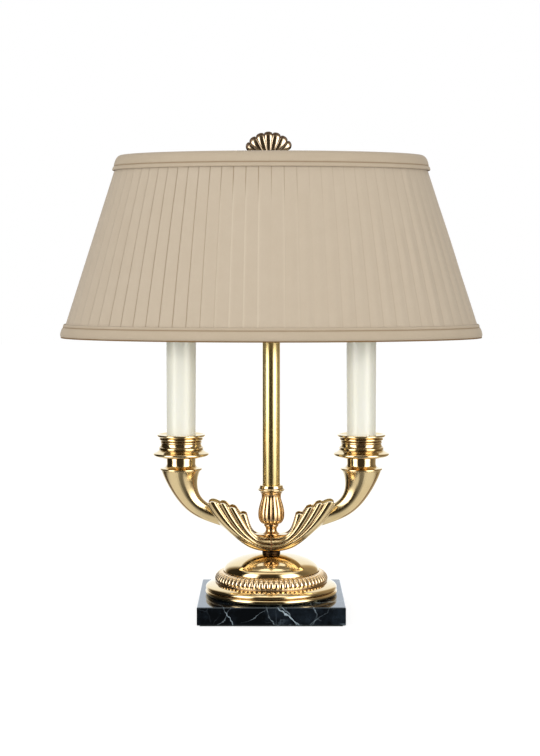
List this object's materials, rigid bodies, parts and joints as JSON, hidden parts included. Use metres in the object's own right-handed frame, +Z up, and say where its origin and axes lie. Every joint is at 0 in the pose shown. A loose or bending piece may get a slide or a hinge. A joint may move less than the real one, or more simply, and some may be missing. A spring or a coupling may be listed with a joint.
{
  "type": "bouillotte table lamp",
  "caption": "Two-light table lamp: oval pleated shade on a column, fluted scroll arms with candle sockets, gadrooned brass foot on a square marble slab.",
  "frame": {"origin": "on the table under the lamp's axis, at the felt's lower face", "axes": "+Z up along the column, +X to the right-hand candle seen from the front, front towards -Y"},
  "size_m": [0.4588, 0.2328, 0.5236],
  "materials": {
    "felt": "wool felt",
    "marble": "polished black marble with white veins",
    "brass_polished": "polished, lacquered",
    "brass_satin": "satin, aged",
    "brass_dark": "aged, dark in the hollows",
    "dark_spacer": "blackened",
    "steel": "zinc-plated",
    "rod_steel": "threaded, zinc-plated",
    "cover_ivory": "ivory, waxy",
    "socket_black": "phenolic",
    "socket_brass": "plain",
    "bulb_cap_metal": "plain",
    "bulb_white": "soft white",
    "lead": "brown insulation",
    "bushing": "black",
    "frame_wire": "dull",
    "lining": "off-white backing",
    "pleats": "knife-pleated beige cloth",
    "trim": "folded beige trim",
    "finial_bronze": "dark bronze"
  },
  "bodies": {
    "lamp": {"felt_pad": "felt", "marble_base": "marble", "base_washer": "steel", "base_nut": "steel", "cord_bushing": "bushing", "foot": "brass_polished", "gadroon_ring": "brass_polished", "dome": "brass_polished", "arm_spacer": "dark_spacer", "arm_left": "brass_satin", "arm_right": "brass_satin", "vase": "brass_dark", "column_collar": "brass_polished", "main_rod": "rod_steel", "column_tube": "brass_satin", "neck_left": "brass_polished", "neck_right": "brass_polished", "candle_cup_left": "brass_polished", "candle_cup_right": "brass_polished", "socket_stem_left": "rod_steel", "socket_stem_right": "rod_steel", "cup_nut_left": "steel", "cup_nut_right": "steel", "socket_body_left": "socket_black", "socket_body_right": "socket_black", "socket_shell_left": "socket_brass", "socket_shell_right": "socket_brass", "socket_contact_left": "socket_brass", "socket_contact_right": "socket_brass", "arm_lead_left": "lead", "arm_lead_right": "lead", "switch_housing": "brass_satin", "switch_block": "socket_black", "rod_nut": "steel", "stem_rod": "rod_steel", "stem_nut": "steel", "stem_tube": "brass_satin", "shade_seat": "brass_satin"},
    "shade": {"shade_spider": "frame_wire", "shade_top_ring": "frame_wire", "shade_bottom_ring": "frame_wire", "shade_side_wires": "frame_wire", "shade_liner": "lining", "shade_cloth": "pleats", "shade_top_trim": "trim", "shade_bottom_trim": "trim"},
    "finial": {"finial_base": "finial_bronze", "finial_shell": "finial_bronze"},
    "knob": {"switch_knob": "brass_satin"},
    "cover_left": {"candle_cover_left": "cover_ivory"},
    "cover_right": {"candle_cover_right": "cover_ivory"},
    "bulb_left": {"bulb_cap_left": "bulb_cap_metal", "bulb_glass_left": "bulb_white"},
    "bulb_right": {"bulb_cap_right": "bulb_cap_metal", "bulb_glass_right": "bulb_white"}
  },
  "joints": [
    {"name": "shade_swivel", "type": "hinge", "parent": "lamp", "child": "shade", "pos_m": [0, 0, 0.47656], "axis": [0, 0, 1], "range_deg": [-45, 45]},
    {"name": "finial_turn", "type": "hinge", "parent": "lamp", "child": "finial", "pos_m": [0, 0, 0.47841], "axis": [0, 0, 1], "continuous": true},
    {"name": "knob_turn", "type": "hinge", "parent": "lamp", "child": "knob", "pos_m": [0, -0.019, 0.34256], "axis": [0, -1, 0], "continuous": true},
    {"name": "cover_left_lift", "type": "slide", "parent": "lamp", "child": "cover_left", "axis": [0, 0, 1], "range_m": [0, 0.013]},
    {"name": "cover_right_lift", "type": "slide", "parent": "lamp", "child": "cover_right", "axis": [0, 0, 1], "range_m": [0, 0.013]},
    {"name": "bulb_left_turn", "type": "hinge", "parent": "lamp", "child": "bulb_left", "pos_m": [-0.0983, 0, 0.32746], "axis": [0, 0, 1], "continuous": true},
    {"name": "bulb_right_turn", "type": "hinge", "parent": "lamp", "child": "bulb_right", "pos_m": [0.0983, 0, 0.32746], "axis": [0, 0, 1], "continuous": true}
  ]
}
